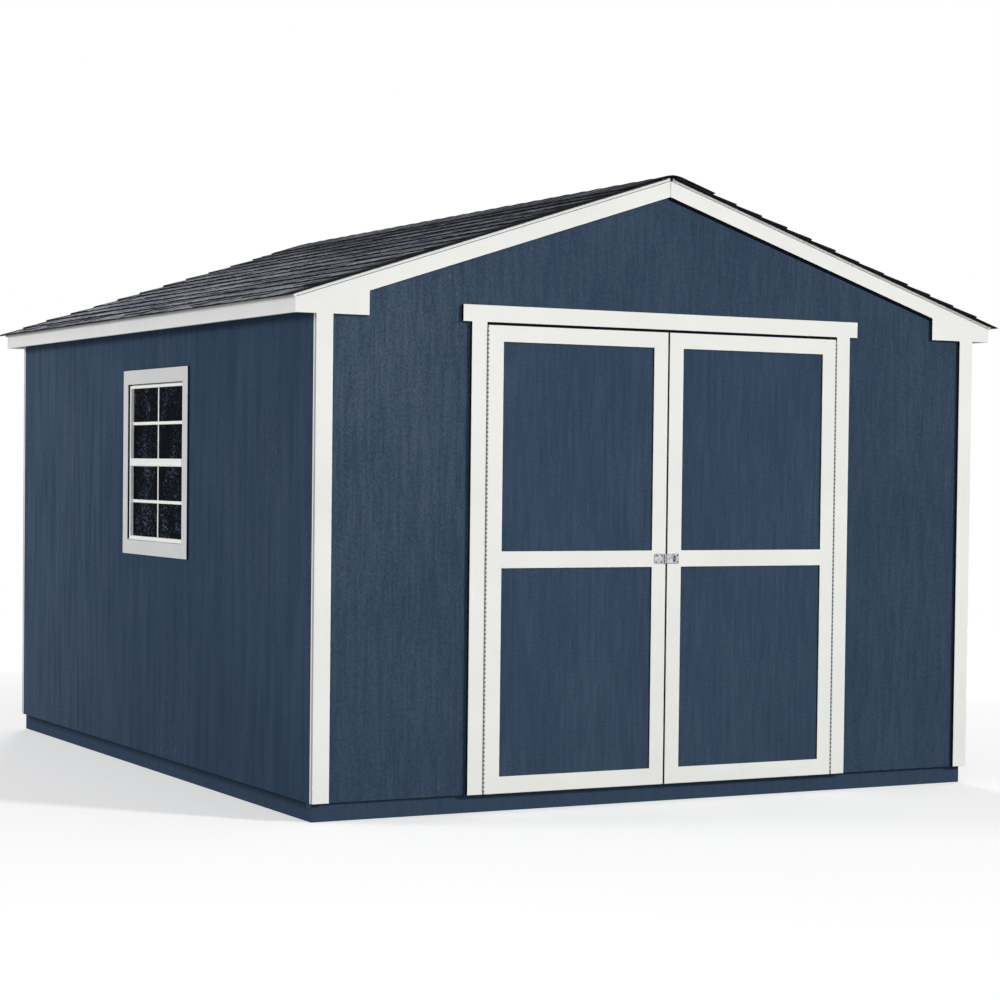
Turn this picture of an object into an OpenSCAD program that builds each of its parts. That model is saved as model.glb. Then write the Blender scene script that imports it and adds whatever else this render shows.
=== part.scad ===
// Gable-roofed wooden garden shed with double doors in the front and a window in each side.
// Front is -Y, up is +Z, the ground is z = 0 and the building is centred on the origin.

/* [Building] */
// Width of the timber frame, without the siding
body_w = 3048; // [2700:1:3600]
// Depth of the timber frame, without the siding
body_d = 3658; // [3000:1:4800]
// Height of the lower edge of the eave boards
eave_z = 1910; // [1860:1:2200]
// Roof rise over the run below
roof_rise = 3.95; // [3.5:0.05:6]
// Roof run for that rise
roof_run = 12; // [10:0.5:14]

/* [Floor] */
// Height of the floor frame
rim_h = 89; // [80:1:140]
// Thickness of the floor frame's boards
rim_t = 38; // [30:1:45]
// Wanted spacing of the floor joists
joist_gap = 406; // [300:1:610]
// How far the end rims stand back under the floor deck
floor_setback = 20; // [0:1:40]
// Thickness of the floor deck
deck_t = 16; // [12:1:25]

/* [Walls] */
// Thickness of the wall siding
siding_t = 11; // [8:1:16]
// How far the siding hangs below the top of the floor deck
siding_drop = 32; // [20:1:60]
// Thickness of studs and plates
stud_t = 38; // [30:1:45]
// Depth of studs and plates, into the wall
stud_d = 89; // [64:1:140]
// Wanted spacing of the studs
stud_gap = 610; // [406:1:760]

/* [Roof] */
// How far the eaves stand out past the siding
overhang = 86; // [60:1:160]
// Height of the fascia at its outer face
fascia_h = 59; // [45:1:90]
// Width of the rake boards, square to the slope
rake_w = 63; // [45:1:90]
// Length of the level return at the foot of each rake
return_w = 303; // [200:1:420]
// Width of the joint between the two rakes at the peak
peak_joint = 3; // [0.5:0.5:6]
// Height of the rafters, square to the slope
rafter_h = 89; // [64:1:140]
// Thickness of the rafters
rafter_t = 38; // [30:1:45]
// Wanted spacing of the rafters
rafter_gap = 610; // [406:1:760]
// Thickness of the ridge board
ridge_t = 19; // [16:1:38]
// Height of the ridge board
ridge_h = 140; // [110:1:190]
// Thickness of the roof sheathing
sheathing_t = 11; // [9:1:18]
// How far the sheathing stands out past the rake boards
sheathing_lip = 6; // [2:1:15]
// How far the sheathing reaches past the fascia
sheathing_eave = 8; // [0:1:15]
// Gap between the two slopes' sheathing at the ridge
ridge_gap = 14; // [2:0.5:18]
// Play between the roof's layers
layer_play = 0.05; // [0.03:0.01:0.2]
// Thickness of the soffit boards
soffit_t = 12; // [8:1:16]
// How far the shingles reach past the fascia
shingle_eave = 38; // [20:1:60]
// How far the shingles reach past the rake boards
shingle_rake = 28; // [22:1:50]
// Length of each shingle course that shows
course = 130; // [100:1:160]
// Thickness of the shingles at the head of a course
shingle_head_t = 5; // [3:0.5:8]
// Thickness of the shingles at the butt of a course
shingle_butt_t = 11.5; // [8.5:0.5:14]
// Width of the ridge cap on each slope
cap_w = 180; // [110:1:220]
// Thickness of the ridge cap
cap_t = 4; // [3:0.5:8]
// Width of the ridge cap's flat crown
cap_crown = 40; // [10:1:60]

/* [Trim] */
// Thickness of corner boards, casings, rakes and fascias
trim_t = 14; // [10:1:25]
// Width of the corner boards
corner_w = 69; // [50:1:100]
// Width of the door's side casings
casing_w = 65; // [50:1:90]
// Height of the board over the doors
head_h = 65; // [50:1:90]
// How far the board over the doors runs past the side casings
head_ear = 38; // [0:1:60]

/* [Doors] */
// Distance between the two hinge lines
hinge_span = 1636; // [1400:1:1900]
// Height of the lower edge of the board over the doors
head_z = 1904; // [1760:1:1906]
// Gap between a door and its casing, filled by the hinge
hinge_gap = 8; // [8:0.5:10]
// Gap between the two doors
seam_gap = 8; // [7:0.5:12]
// Gap over the doors
head_gap = 8; // [6:0.5:12]
// Gap between the back of the doors and the wall frame
stop_gap = 5; // [5:0.5:8]
// How far the wall frame laps behind the edge of a door
stop_lap = 24; // [12:1:40]
// Width of the door stiles
stile_w = 65; // [50:1:90]
// Height of the door rails
rail_h = 66; // [50:1:90]
// Height of the middle of the lock rail
lock_z = 984; // [800:1:1150]
// Thickness of the ledges behind a door
ledge_t = 38; // [19:1:45]
// Clearance of the ledges to the door opening
ledge_gap = 8; // [6:1:20]

/* [Hinges and hasp] */
// Radius of the hinge knuckles
knuckle_r = 3.6; // [3:0.1:3.8]
// Length of a hinge knuckle
knuckle_l = 50; // [40:1:80]
// Axial gap between two knuckles
knuckle_gap = 0.6; // [0.4:0.1:1]
// Radius of the hinge pin
pin_r = 1.6; // [1.2:0.1:2]
// Radial clearance of the pin in the door's knuckles
pin_gap = 0.1; // [0.05:0.01:0.1]
// Thickness of the hinge plates
plate_t = 1.5; // [1:0.1:1.5]
// How far the hinge line stands in front of the door's face
hinge_proud = 1; // [1:0.5:3]
// Length of the hasp, from end to end
hasp_l = 116; // [90:1:150]
// Height of the hasp
hasp_h = 40; // [30:1:50]
// Thickness of the hasp's plates
hasp_t = 2.5; // [2:0.1:3]
// Radius of the hasp's barrel
barrel_r = 4; // [3.5:0.1:4.5]
// How far the staple stands out from its plate
staple_out = 14; // [12:0.5:15]
// Radius of the staple's rod
staple_r = 2.5; // [2:0.1:3]
// Distance between the staple's two legs
staple_span = 18; // [14:0.5:24]
// Distance of the staple from the free end of the strap
staple_in = 23; // [15:0.5:30]
// Play of the staple in the strap's slot
slot_play = 3; // [2:0.5:4]

/* [Windows] */
// Width of the window opening
window_w = 690; // [500:1:900]
// Height of the window opening
window_h = 688; // [500:1:800]
// Height of the window opening's lower edge
window_z = 1003; // [800:1:1050]
// Place of the windows' middle along the wall
window_y = -109; // [-300:1:300]
// Width of the window casings
window_casing_w = 63; // [45:1:90]
// Thickness of the window casings
window_casing_t = 9; // [6:1:25]
// Thickness of the window frame, in the plane of the wall
frame_t = 5; // [4:1:20]
// How far the window frame stands back from the siding's face
frame_setback = 12; // [4:1:16]
// Depth of the window frame, through the wall
frame_d = 80; // [60:1:84]
// Width of the sash members
sash_w = 13; // [10:1:30]
// Height of the rail between the two rows of lights
meet_h = 34; // [24:1:50]
// Depth of the sash
sash_d = 32; // [22:1:40]
// Thickness of the glass
glass_t = 4; // [3:0.5:6]
// How far the sash stands back from the casing's face
sash_setback = 7; // [2:1:12]

/* [Hidden] */
$fn = 32;
// How far a cutting body reaches past what it cuts
cut = 1;

navy = "#34465c";
white = "#e6e8e2";
charcoal = "#2b2d33";
lumber = "#c9a877";
board = "#b08d5a";
zinc = "#a9adb0";
glazing = "#1c2126";

half_w = body_w / 2;
half_d = body_d / 2;
out_x = half_w + siding_t;
out_y = half_d + siding_t;
face_y = out_y + trim_t;
deck_top = rim_h + deck_t;
skirt_z = deck_top - siding_drop;

slope = roof_rise / roof_run;
pitch = atan(slope);
eave_x = out_x + overhang;
tail_x = eave_x - trim_t;
rim_y = half_d - floor_setback;
plate_x = half_w - stud_d;
plate_y = half_d - stud_d;
plate_top = rafter_under(plate_x);
plate_low = plate_top - stud_t;
stud_foot = deck_top + stud_t;

hinge_x = hinge_span / 2;
jamb_x = hinge_x + hinge_gap / 2;
leaf_x = hinge_x - hinge_gap / 2;
leaf_in = seam_gap / 2;
leaf_top = head_z - head_gap;
door_x = leaf_x - stop_lap;
door_top = plate_low - stud_t;
panel_y = half_d + stop_gap;
stile_y = panel_y + siding_t;
leaf_face = stile_y + trim_t;
hinge_y = leaf_face + hinge_proud;
lock_low = lock_z - rail_h / 2;
hinge_foot = skirt_z + hinge_gap;
hinge_tip = leaf_top - hinge_gap;
knuckles = floor((hinge_tip - hinge_foot) / knuckle_l);

staple_x = hasp_l / 2 - staple_in;

sash_x = out_x + window_casing_t - sash_setback;
sash_edge = window_w / 2 - frame_t;
light_edge = sash_edge - sash_w;
light_h = (window_h - meet_h) / 2 - frame_t - sash_w;
// Lower edges of the two rows of lights
lights = [window_z + frame_t + sash_w, window_z + (window_h + meet_h) / 2];

shingle_y = face_y + shingle_rake;
slope_l = (eave_x + shingle_eave) / cos(pitch);
ridge_z = roof_under(0) + sheathing_t / cos(pitch) + 2 * layer_play;

// Height of the underside of the roof sheathing at a distance from the middle
function roof_under(x) = eave_z + fascia_h + (eave_x - x) * slope;
// Height of the underside of the rafters at a distance from the middle
function rafter_under(x) = roof_under(x) - rafter_h / cos(pitch);
// Height of the lower edge of the rake boards
function rake_under(x) = roof_under(x) - rake_w / cos(pitch);
// Point of the right slope, by its distance down the slope and its height over the sheathing
function on_slope(s, t) = [s * cos(pitch) + t * sin(pitch), ridge_z - s * sin(pitch) + t * cos(pitch)];
// Centres of pieces of a thickness that fill a length at about the wanted spacing
function spread(length, thick, gap) =
    let (bays = round((length - thick) / gap), step = (length - thick) / bays)
    [for (i = [0 : bays]) thick / 2 - length / 2 + i * step];

// Box between two corners
module slab(low, high) translate(low) cube(high - low);

// Profile in X and Z, drawn out along Y between two places
module along_y(low, high, points)
    translate([0, high, 0]) rotate([90, 0, 0]) linear_extrude(high - low) polygon(points);

// The children and their mirror images on the other side of the building
module both_sides() {
    children();
    mirror([1, 0, 0]) children();
}

// The children and their mirror images at the other end of the building
module both_ends() {
    children();
    mirror([0, 1, 0]) children();
}

// Flat ring in the plane of a side wall, given by its inner opening and its members' width
module wall_ring(x0, x1, w, h, member, low_z) difference() {
    slab([x0, window_y - w / 2 - member, low_z - member],
        [x1, window_y + w / 2 + member, low_z + h + member]);
    slab([x0 - cut, window_y - w / 2, low_z], [x1 + cut, window_y + w / 2, low_z + h]);
}

// Floor
module floor_end_rims() color(navy) both_ends()
    slab([-half_w, -rim_y, 0], [half_w, rim_t - rim_y, rim_h]);

module floor_side_rims() color(navy) both_sides()
    slab([half_w - rim_t, rim_t - rim_y, 0], [half_w, rim_y - rim_t, rim_h]);

module floor_joists() color(lumber) {
    bays = 2 * round(rim_y / joist_gap);
    for (i = [1 : bays - 1]) translate([0, i * 2 * rim_y / bays - rim_y, 0])
        slab([rim_t - half_w, -rim_t / 2, 0], [half_w - rim_t, rim_t / 2, rim_h]);
}

module floor_deck() color(board) slab([-half_w, -half_d, rim_h], [half_w, half_d, deck_top]);

// Wall frame
module side_wall_plates() color(lumber) both_sides() for (z = [deck_top, plate_low])
    slab([plate_x, -half_d, z], [half_w, half_d, z + stud_t]);

module end_wall_plates() color(lumber) {
    slab([-plate_x, plate_y, deck_top], [plate_x, half_d, stud_foot]);
    both_sides() slab([door_x, -half_d, deck_top], [plate_x, -plate_y, stud_foot]);
    both_ends() slab([-plate_x, -half_d, plate_low], [plate_x, -plate_y, plate_top]);
}

module side_wall_studs() color(lumber) both_sides() {
    clear = window_w / 2 + 2 * stud_t;
    trimmers = [for (side = [-1, 1]) window_y + side * (window_w + stud_t) / 2];
    regular = [for (y = spread(body_d, stud_t, stud_gap)) if (abs(y - window_y) > clear) y];
    for (y = concat(regular, trimmers))
        slab([plate_x, y - stud_t / 2, stud_foot], [half_w, y + stud_t / 2, plate_low]);
}

// Stud of an end wall, at the back of the building
module end_stud(x) slab([x - stud_t / 2, plate_y, stud_foot], [x + stud_t / 2, half_d, plate_low]);

// Short stud of a gable between two places, at the back of the building
module gable_stud(x0, x1) along_y(half_d - rafter_t, half_d, [[x0, plate_top], [x1, plate_top],
    [x1, rafter_under(x1) - layer_play], [x0, rafter_under(x0) - layer_play]]);

module end_wall_studs() color(lumber) {
    corner = plate_x - stud_t / 2;
    king = door_x + stud_t / 2;
    for (x = spread(2 * plate_x, stud_t, stud_gap)) end_stud(x);
    mirror([0, 1, 0]) both_sides() for (x = [corner, (corner + king) / 2, king]) end_stud(x);
    both_ends() both_sides() for (x = [plate_x / 4, plate_x / 2]) gable_stud(x - stud_t / 2, x + stud_t / 2);
}

module opening_headers() color(lumber) {
    slab([-door_x, -half_d, door_top], [door_x, -plate_y, plate_low]);
    both_sides() for (z = [window_z - stud_t, window_z + window_h])
        slab([plate_x, window_y - window_w / 2, z], [half_w, window_y + window_w / 2, z + stud_t]);
}

// Siding
module side_siding() color(navy) difference() {
    slab([half_w, -half_d, skirt_z], [out_x, half_d, plate_top]);
    slab([half_w - cut, window_y - window_w / 2, window_z],
        [out_x + cut, window_y + window_w / 2, window_z + window_h]);
}

module left_wall_siding() mirror([1, 0, 0]) side_siding();

module right_wall_siding() side_siding();

// Gable outline from a height up to the roof sheathing
function gable(low_z) = [[-out_x, low_z], [out_x, low_z], [out_x, roof_under(out_x)],
    [0, roof_under(0)], [-out_x, roof_under(out_x)]];

module back_wall_siding() color(navy) along_y(half_d, out_y, gable(skirt_z));

module front_side_siding() color(navy)
    slab([jamb_x, -out_y, skirt_z], [out_x, -half_d, head_z]);

module front_left_siding() mirror([1, 0, 0]) front_side_siding();

module front_right_siding() front_side_siding();

module front_gable_siding() color(navy) along_y(-out_y, -half_d, gable(head_z));

// Trim
module corner_boards() color(white) both_ends() both_sides()
    slab([out_x - corner_w, -face_y, skirt_z], [out_x, -out_y, eave_z]);

module door_side_casings() color(white) both_sides()
    slab([jamb_x, -face_y, skirt_z], [jamb_x + casing_w, -out_y, head_z]);

module door_head_casing() color(white) {
    reach = jamb_x + casing_w + head_ear;
    slab([-reach, -face_y, head_z], [reach, -out_y, head_z + head_h]);
}

module eave_fascias() color(white) both_sides() along_y(-out_y, out_y,
    [[tail_x, eave_z], [eave_x, eave_z], [eave_x, roof_under(eave_x)], [tail_x, roof_under(tail_x)]]);

module eave_soffits() color(white) both_sides()
    slab([out_x, -out_y, plate_top - soffit_t], [tail_x, out_y, plate_top]);

module rake_boards() color(white) {
    joint = peak_joint / 2;
    foot = eave_x - return_w;
    both_ends() both_sides() along_y(-face_y, -out_y, [[joint, rake_under(joint)],
        [foot, rake_under(foot)], [foot, eave_z], [eave_x, eave_z],
        [eave_x, roof_under(eave_x)], [joint, roof_under(joint)]]);
}

// Roof
module rafters() color(lumber) for (y = spread(body_d, rafter_t, rafter_gap)) both_sides()
    along_y(y - rafter_t / 2, y + rafter_t / 2, [[ridge_t / 2, rafter_under(ridge_t / 2)],
        [plate_x, plate_top], [tail_x, plate_top], [tail_x, roof_under(tail_x)],
        [ridge_t / 2, roof_under(ridge_t / 2)]]);

module ridge_board() color(lumber) {
    top = roof_under(ridge_t / 2);
    slab([-ridge_t / 2, -half_d, top - ridge_h], [ridge_t / 2, half_d, top]);
}

module roof_sheathing() color(board) {
    edge = face_y + sheathing_lip;
    rise = sheathing_t / cos(pitch);
    head = ridge_gap / 2;
    head_z0 = roof_under(head) + layer_play;
    foot = eave_x + sheathing_eave;
    foot_z0 = roof_under(foot) + layer_play;
    both_sides() along_y(-edge, edge,
        [[head, head_z0], [foot, foot_z0], [foot, foot_z0 + rise], [head, head_z0 + rise]]);
}

// Courses of shingles on one slope, each lapping over the one below it
module shingle_slope() color(charcoal) {
    head = ridge_gap / cos(pitch);
    courses = ceil((slope_l - head) / course);
    butts = [for (i = [0 : courses - 1]) slope_l - i * course];
    steps = [for (s = butts) each [on_slope(s, shingle_butt_t),
        on_slope(max(s - course, head), shingle_head_t)]];
    along_y(-shingle_y, shingle_y, concat([on_slope(head, 0), on_slope(slope_l, 0)], steps));
}

module left_shingles() mirror([1, 0, 0]) shingle_slope();

module right_shingles() shingle_slope();

module ridge_cap() color(charcoal) {
    low = shingle_butt_t + layer_play;
    half = cap_crown / 2;
    crown_z = ridge_z + low / cos(pitch) - half * slope;
    crown_top = crown_z + cap_t / cos(pitch);
    foot = on_slope(cap_w, low);
    top = on_slope(cap_w, low + cap_t);
    along_y(-shingle_y, shingle_y, [[half, crown_z], foot, top, [half, crown_top],
        [-half, crown_top], [-top[0], top[1]], [-foot[0], foot[1]], [-half, crown_z]]);
}

// Doors, drawn as the right one
module door_panel() color(navy)
    slab([leaf_in, -stile_y, skirt_z], [leaf_x, -panel_y, leaf_top]);

module door_stiles() color(white) for (x = [leaf_in, leaf_x - stile_w])
    slab([x, -leaf_face, skirt_z], [x + stile_w, -stile_y, leaf_top]);

module door_rails() color(white) for (z = [skirt_z, lock_low, leaf_top - rail_h])
    slab([leaf_in + stile_w, -leaf_face, z], [leaf_x - stile_w, -stile_y, z + rail_h]);

module door_ledges() color(lumber) {
    inset = stop_lap + ledge_gap;
    for (z = [deck_top + ledge_gap, lock_low, door_top - ledge_gap - rail_h])
        slab([leaf_in + inset, -panel_y, z], [leaf_x - inset, ledge_t - panel_y, z + rail_h]);
}

// Every second knuckle of a hinge, counted from its foot, with the tab that carries it
module knuckle_row(first, tab_x) for (i = [first : 2 : knuckles - 1]) {
    low = hinge_foot + i * knuckle_l + knuckle_gap / 2;
    tall = knuckle_l - knuckle_gap;
    translate([hinge_x, -hinge_y, low]) cylinder(r = knuckle_r, h = tall);
    translate([tab_x, -hinge_y, low]) cube([plate_t, knuckle_r + 2 * knuckle_gap, tall]);
}

// Plate of a hinge in the gap beside the door
module hinge_plate(x, back_y) slab([x, knuckle_r + knuckle_gap - hinge_y, hinge_foot],
    [x + plate_t, back_y, hinge_foot + knuckles * knuckle_l]);

module door_hinge() color(white) difference() {
    union() {
        hinge_plate(leaf_x, -panel_y);
        knuckle_row(0, leaf_x);
    }
    translate([hinge_x, -hinge_y, hinge_foot - cut])
        cylinder(r = pin_r + pin_gap, h = knuckles * knuckle_l + 2 * cut);
}

module jamb_hinges() color(white) both_sides() {
    hinge_plate(jamb_x - plate_t, -half_d);
    knuckle_row(1, jamb_x - plate_t);
    translate([hinge_x, -hinge_y, hinge_foot]) cylinder(r = pin_r, h = knuckles * knuckle_l);
}

module left_door_panel() mirror([1, 0, 0]) door_panel();
module left_door_stiles() mirror([1, 0, 0]) door_stiles();
module left_door_rails() mirror([1, 0, 0]) door_rails();
module left_door_ledges() mirror([1, 0, 0]) door_ledges();
module left_door_hinge() mirror([1, 0, 0]) door_hinge();
module right_door_panel() door_panel();
module right_door_stiles() door_stiles();
module right_door_rails() door_rails();
module right_door_ledges() door_ledges();
module right_door_hinge() door_hinge();

// Hasp on the meeting stiles: plate and barrel on the left door, staple and strap on the right
module hasp_plate() color(zinc) {
    barrel_x = -leaf_in - barrel_r;
    slab([-hasp_l / 2, -leaf_face - hasp_t, lock_z - hasp_h / 2],
        [barrel_x, -leaf_face, lock_z + hasp_h / 2]);
    translate([barrel_x, -leaf_face - barrel_r, lock_z - hasp_h / 2]) cylinder(r = barrel_r, h = hasp_h);
}

module hasp_staple() color(zinc) {
    front = leaf_face + hasp_t;
    slab([leaf_in, -front, lock_z - hasp_h / 2], [hasp_l / 2, -leaf_face, lock_z + hasp_h / 2]);
    for (side = [-1, 1]) translate([staple_x, -front, lock_z + side * staple_span / 2])
        rotate([90, 0, 0]) cylinder(r = staple_r, h = staple_out);
    translate([staple_x, -front - staple_out + staple_r, lock_z - staple_span / 2])
        cylinder(r = staple_r, h = staple_span);
}

module hasp_strap() color(zinc) {
    back = leaf_face + hasp_t;
    slot_w = 2 * staple_r + slot_play;
    slot_h = staple_span + 2 * staple_r + slot_play;
    difference() {
        slab([leaf_in, -back - hasp_t, lock_z - hasp_h / 2], [hasp_l / 2, -back, lock_z + hasp_h / 2]);
        slab([staple_x - slot_w / 2, -back - hasp_t - cut, lock_z - slot_h / 2],
            [staple_x + slot_w / 2, cut - back, lock_z + slot_h / 2]);
    }
}

// Windows
module window_casings() color(white) both_sides()
    wall_ring(out_x, out_x + window_casing_t, window_w, window_h, window_casing_w, window_z);

module window_frames() color(white) both_sides() {
    face = out_x - frame_setback;
    wall_ring(face - frame_d, face, window_w - 2 * frame_t, window_h - 2 * frame_t, frame_t,
        window_z + frame_t);
}

module window_sashes() color(white) both_sides() difference() {
    slab([sash_x - sash_d, window_y - sash_edge, window_z + frame_t],
        [sash_x, window_y + sash_edge, window_z + window_h - frame_t]);
    for (z = lights) slab([sash_x - sash_d - cut, window_y - light_edge, z],
        [sash_x + cut, window_y + light_edge, z + light_h]);
}

module window_glass() color(glazing) both_sides() for (z = lights)
    translate([sash_x - (sash_d + glass_t) / 2, window_y - light_edge, z])
        cube([glass_t, 2 * light_edge, light_h]);

floor_end_rims();
floor_side_rims();
floor_joists();
floor_deck();
side_wall_plates();
end_wall_plates();
side_wall_studs();
end_wall_studs();
opening_headers();
left_wall_siding();
right_wall_siding();
back_wall_siding();
front_left_siding();
front_right_siding();
front_gable_siding();
corner_boards();
door_side_casings();
door_head_casing();
eave_fascias();
eave_soffits();
rake_boards();
rafters();
ridge_board();
roof_sheathing();
left_shingles();
right_shingles();
ridge_cap();
left_door_panel();
left_door_stiles();
left_door_rails();
left_door_ledges();
left_door_hinge();
right_door_panel();
right_door_stiles();
right_door_rails();
right_door_ledges();
right_door_hinge();
jamb_hinges();
hasp_plate();
hasp_strap();
hasp_staple();
window_casings();
window_frames();
window_sashes();
window_glass();
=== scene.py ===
import math
import random

import bmesh
import bpy
from mathutils import Matrix, Vector


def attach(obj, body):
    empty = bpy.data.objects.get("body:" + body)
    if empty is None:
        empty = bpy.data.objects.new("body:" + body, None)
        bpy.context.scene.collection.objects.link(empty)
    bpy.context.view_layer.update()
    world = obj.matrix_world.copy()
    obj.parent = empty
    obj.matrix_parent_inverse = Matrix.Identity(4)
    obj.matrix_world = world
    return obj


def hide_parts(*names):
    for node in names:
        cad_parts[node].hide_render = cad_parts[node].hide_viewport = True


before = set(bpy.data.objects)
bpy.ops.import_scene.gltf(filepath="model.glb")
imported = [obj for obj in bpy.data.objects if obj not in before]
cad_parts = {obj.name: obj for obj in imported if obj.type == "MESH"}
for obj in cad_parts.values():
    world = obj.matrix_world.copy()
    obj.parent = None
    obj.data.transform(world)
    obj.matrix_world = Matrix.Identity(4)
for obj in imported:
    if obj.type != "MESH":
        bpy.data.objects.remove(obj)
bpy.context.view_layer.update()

# Sizes in metres, as in the part's source
HALF_W = 1.524
HALF_D = 1.829
SIDING_T = 0.011
TRIM_T = 0.014
OUT_X = HALF_W + SIDING_T
OUT_Y = HALF_D + SIDING_T
FACE_Y = OUT_Y + TRIM_T
DECK_LOW = 0.089
RIM_FACE = HALF_D - 0.009
DECK_TOP = 0.105
SKIRT_Z = 0.073
EAVE_Z = 1.910
EAVE_X = OUT_X + 0.086
FASCIA_H = 0.059
SLOPE = 3.95 / 12
PITCH = math.atan(SLOPE)
RAKE_W = 0.063
RETURN_W = 0.303
CORNER_W = 0.069
JAMB_X = 0.822
CASING_W = 0.065
HEAD_Z = 1.904
HEAD_H = 0.065
HEAD_EAR = 0.038
LEAF_X = 0.814
LEAF_IN = 0.004
LEAF_TOP = 1.896
STILE_W = 0.065
RAIL_H = 0.066
LOCK_Z = 0.984
PANEL_Y = HALF_D + 0.005
STILE_Y = PANEL_Y + SIDING_T
LEAF_FACE = STILE_Y + TRIM_T
CASING_FACE = FACE_Y + 0.0035
HINGE_X = 0.818
HINGE_Y = LEAF_FACE + 0.001
HINGE_PLATE_Y = HINGE_Y - 0.0042
HINGE_FOOT = 0.081
HINGE_TIP = 1.881
SHEATHING_T = 0.011
SHEATHING_LIP = 0.006
SHINGLE_Y = FACE_Y + 0.024
SHINGLE_EAVE = 0.038
COURSE = 0.130
SHINGLE_BUTT = 0.0115
CAP_W = 0.204
CAP_CROWN = 0.040
WINDOW_Y = -0.109
WINDOW_W = 0.690
WINDOW_H = 0.688
WINDOW_Z = 1.003
SASH_X = OUT_X + 0.002
SASH_EDGE = WINDOW_W / 2 - 0.005
SASH_W = 0.013
MEET_H = 0.034
GLASS_X = SASH_X - 0.014

# Fine sizes that only the scene has
HAIR = 0.0001
SINK = 0.001
EDGE = 0.0015
FINE_EDGE = 0.0004
SMOOTH_ANGLE = math.radians(38)
PAINT_IN_X = HALF_W + 0.003
PAINT_IN_Y = HALF_D + 0.0075
CAULK_W = 0.0022
PLUG_X = 0.0068
# Sizes of the dark beads under the left and right rakes, which paint the rakes' shadow.
SHADOW_BEAD_LEFT = 0.003
SHADOW_BEAD_RIGHT = 0.0125
SKIN_T = 0.008
FRAME_DROP = 0.003
STRIP_LAP = 0.012
STRIP_T = 0.0042
STRIP_END_T = 0.0095
HINGE_LAP = 0.0011
HINGE_T = 0.0015
HINGE_PIN_R = 0.0015
KNUCKLE = 0.0085
KNUCKLE_GAP = 0.0012
DOOR_KNUCKLE_R = 0.0026
JAMB_KNUCKLE_R = 0.0030
KNUCKLE_LIP = 0.0005
HINGE_SCREW = (0.0035, 0.0009)
HINGE_SCREW_FIRST = 0.04
HINGE_SCREW_LAST = 0.03
HINGE_SCREW_STEP = 0.12
HASP_LOW = LOCK_Z - 0.020
HASP_HIGH = LOCK_Z + 0.020
HASP_EDGE = 0.058
HASP_CORNER = 0.004
HASP_PIN_X = -0.008
HASP_BARREL_R = 0.004
HASP_BARREL_L = 0.0127
HASP_T = 0.0025
STRAP_IN = -0.002
STRAP_OUT = 0.054
STRAP_T = 0.0024
STRAP_FACE = 0.0052
SLOT_X = 0.035
SLOT_W = 0.008
SLOT_H = 0.026
HASP_SCREW_Z = 0.0135
BAR_W = 0.011
BAR_T = 0.003
CROSS_W = 0.0135
RAIL_STRIPS = ((0.002, 0.017), (0.021, 0.031))
SILL_STRIP_H = 0.006
TAB_W = 0.333
TAB_SLOT = 0.007
TAB_COLUMN = 0.028
TAB_LAP = 0.022
TAB_HEAD_T = 0.0036
SHINGLE_HEAD = 0.016
RAGGED = 0.004
FIRST_COURSE_LOW = 0.004
CAP_STEP = 0.14
CAP_L = 0.30
CAP_LIFT = 0.0095
CAP_T = 0.004
END_RIM_T = 0.05
DECK_JOINT = 0.0012
SEED = 7

# Stage: strength of the surroundings, the floor's glow, where it turns white and its half width
WORLD_LIGHT = 0.32
FLOOR_GLOW = 0.40
FLOOR_FADE = (4.0, 11.0)
FLOOR_HALF = 60.0

# Lamps: name, place, aim, size in metres and power in watts
LAMPS = (
    ("key_lamp", (22.0, -31.0, 16.0), (0.0, -1.0, 1.2), 3.6, 10500),
    ("fill_lamp", (-5.0, -9.0, 2.0), (0.0, -1.8, 1.0), 3.0, 140),
    ("side_lamp", (-15.0, 5.0, 4.8), (-1.5, 0.0, 1.2), 4.0, 1080),
    ("back_lamp", (6.0, 18.0, 8.0), (0.0, 1.0, 1.2), 4.0, 1600),
)

# Camera fitted to the photo: place, turn, tilt and roll in degrees, focal length and centre in pixels
CAMERA_AT = (-5.198, -10.392, 1.341)
CAMERA_TURN = (28.882, -1.647, 0.690)
FOCAL = 2478.4
CENTRE = (560.0, 540.0)
PICTURE = 1000
SENSOR = 36.0

rng = random.Random(SEED)


def roof_under(x):
    """Height of the sheathing's underside at a place across the shed."""
    return EAVE_Z + FASCIA_H + (EAVE_X - x) * SLOPE


def rake_under(x):
    """Height of a rake's lower edge at a place across the shed."""
    return roof_under(x) - RAKE_W / math.cos(PITCH)


RIDGE_Z = roof_under(0) + SHEATHING_T / math.cos(PITCH) + HAIR
SLOPE_L = (EAVE_X + SHINGLE_EAVE) / math.cos(PITCH)


def on_slope(side, s, y, t):
    """Point of a roof slope by its way down the slope, its place along the ridge and its height."""
    x = s * math.cos(PITCH) + t * math.sin(PITCH)
    z = RIDGE_Z - s * math.sin(PITCH) + t * math.cos(PITCH)
    return Vector((side * x, y, z))


# Shader helpers


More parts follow.
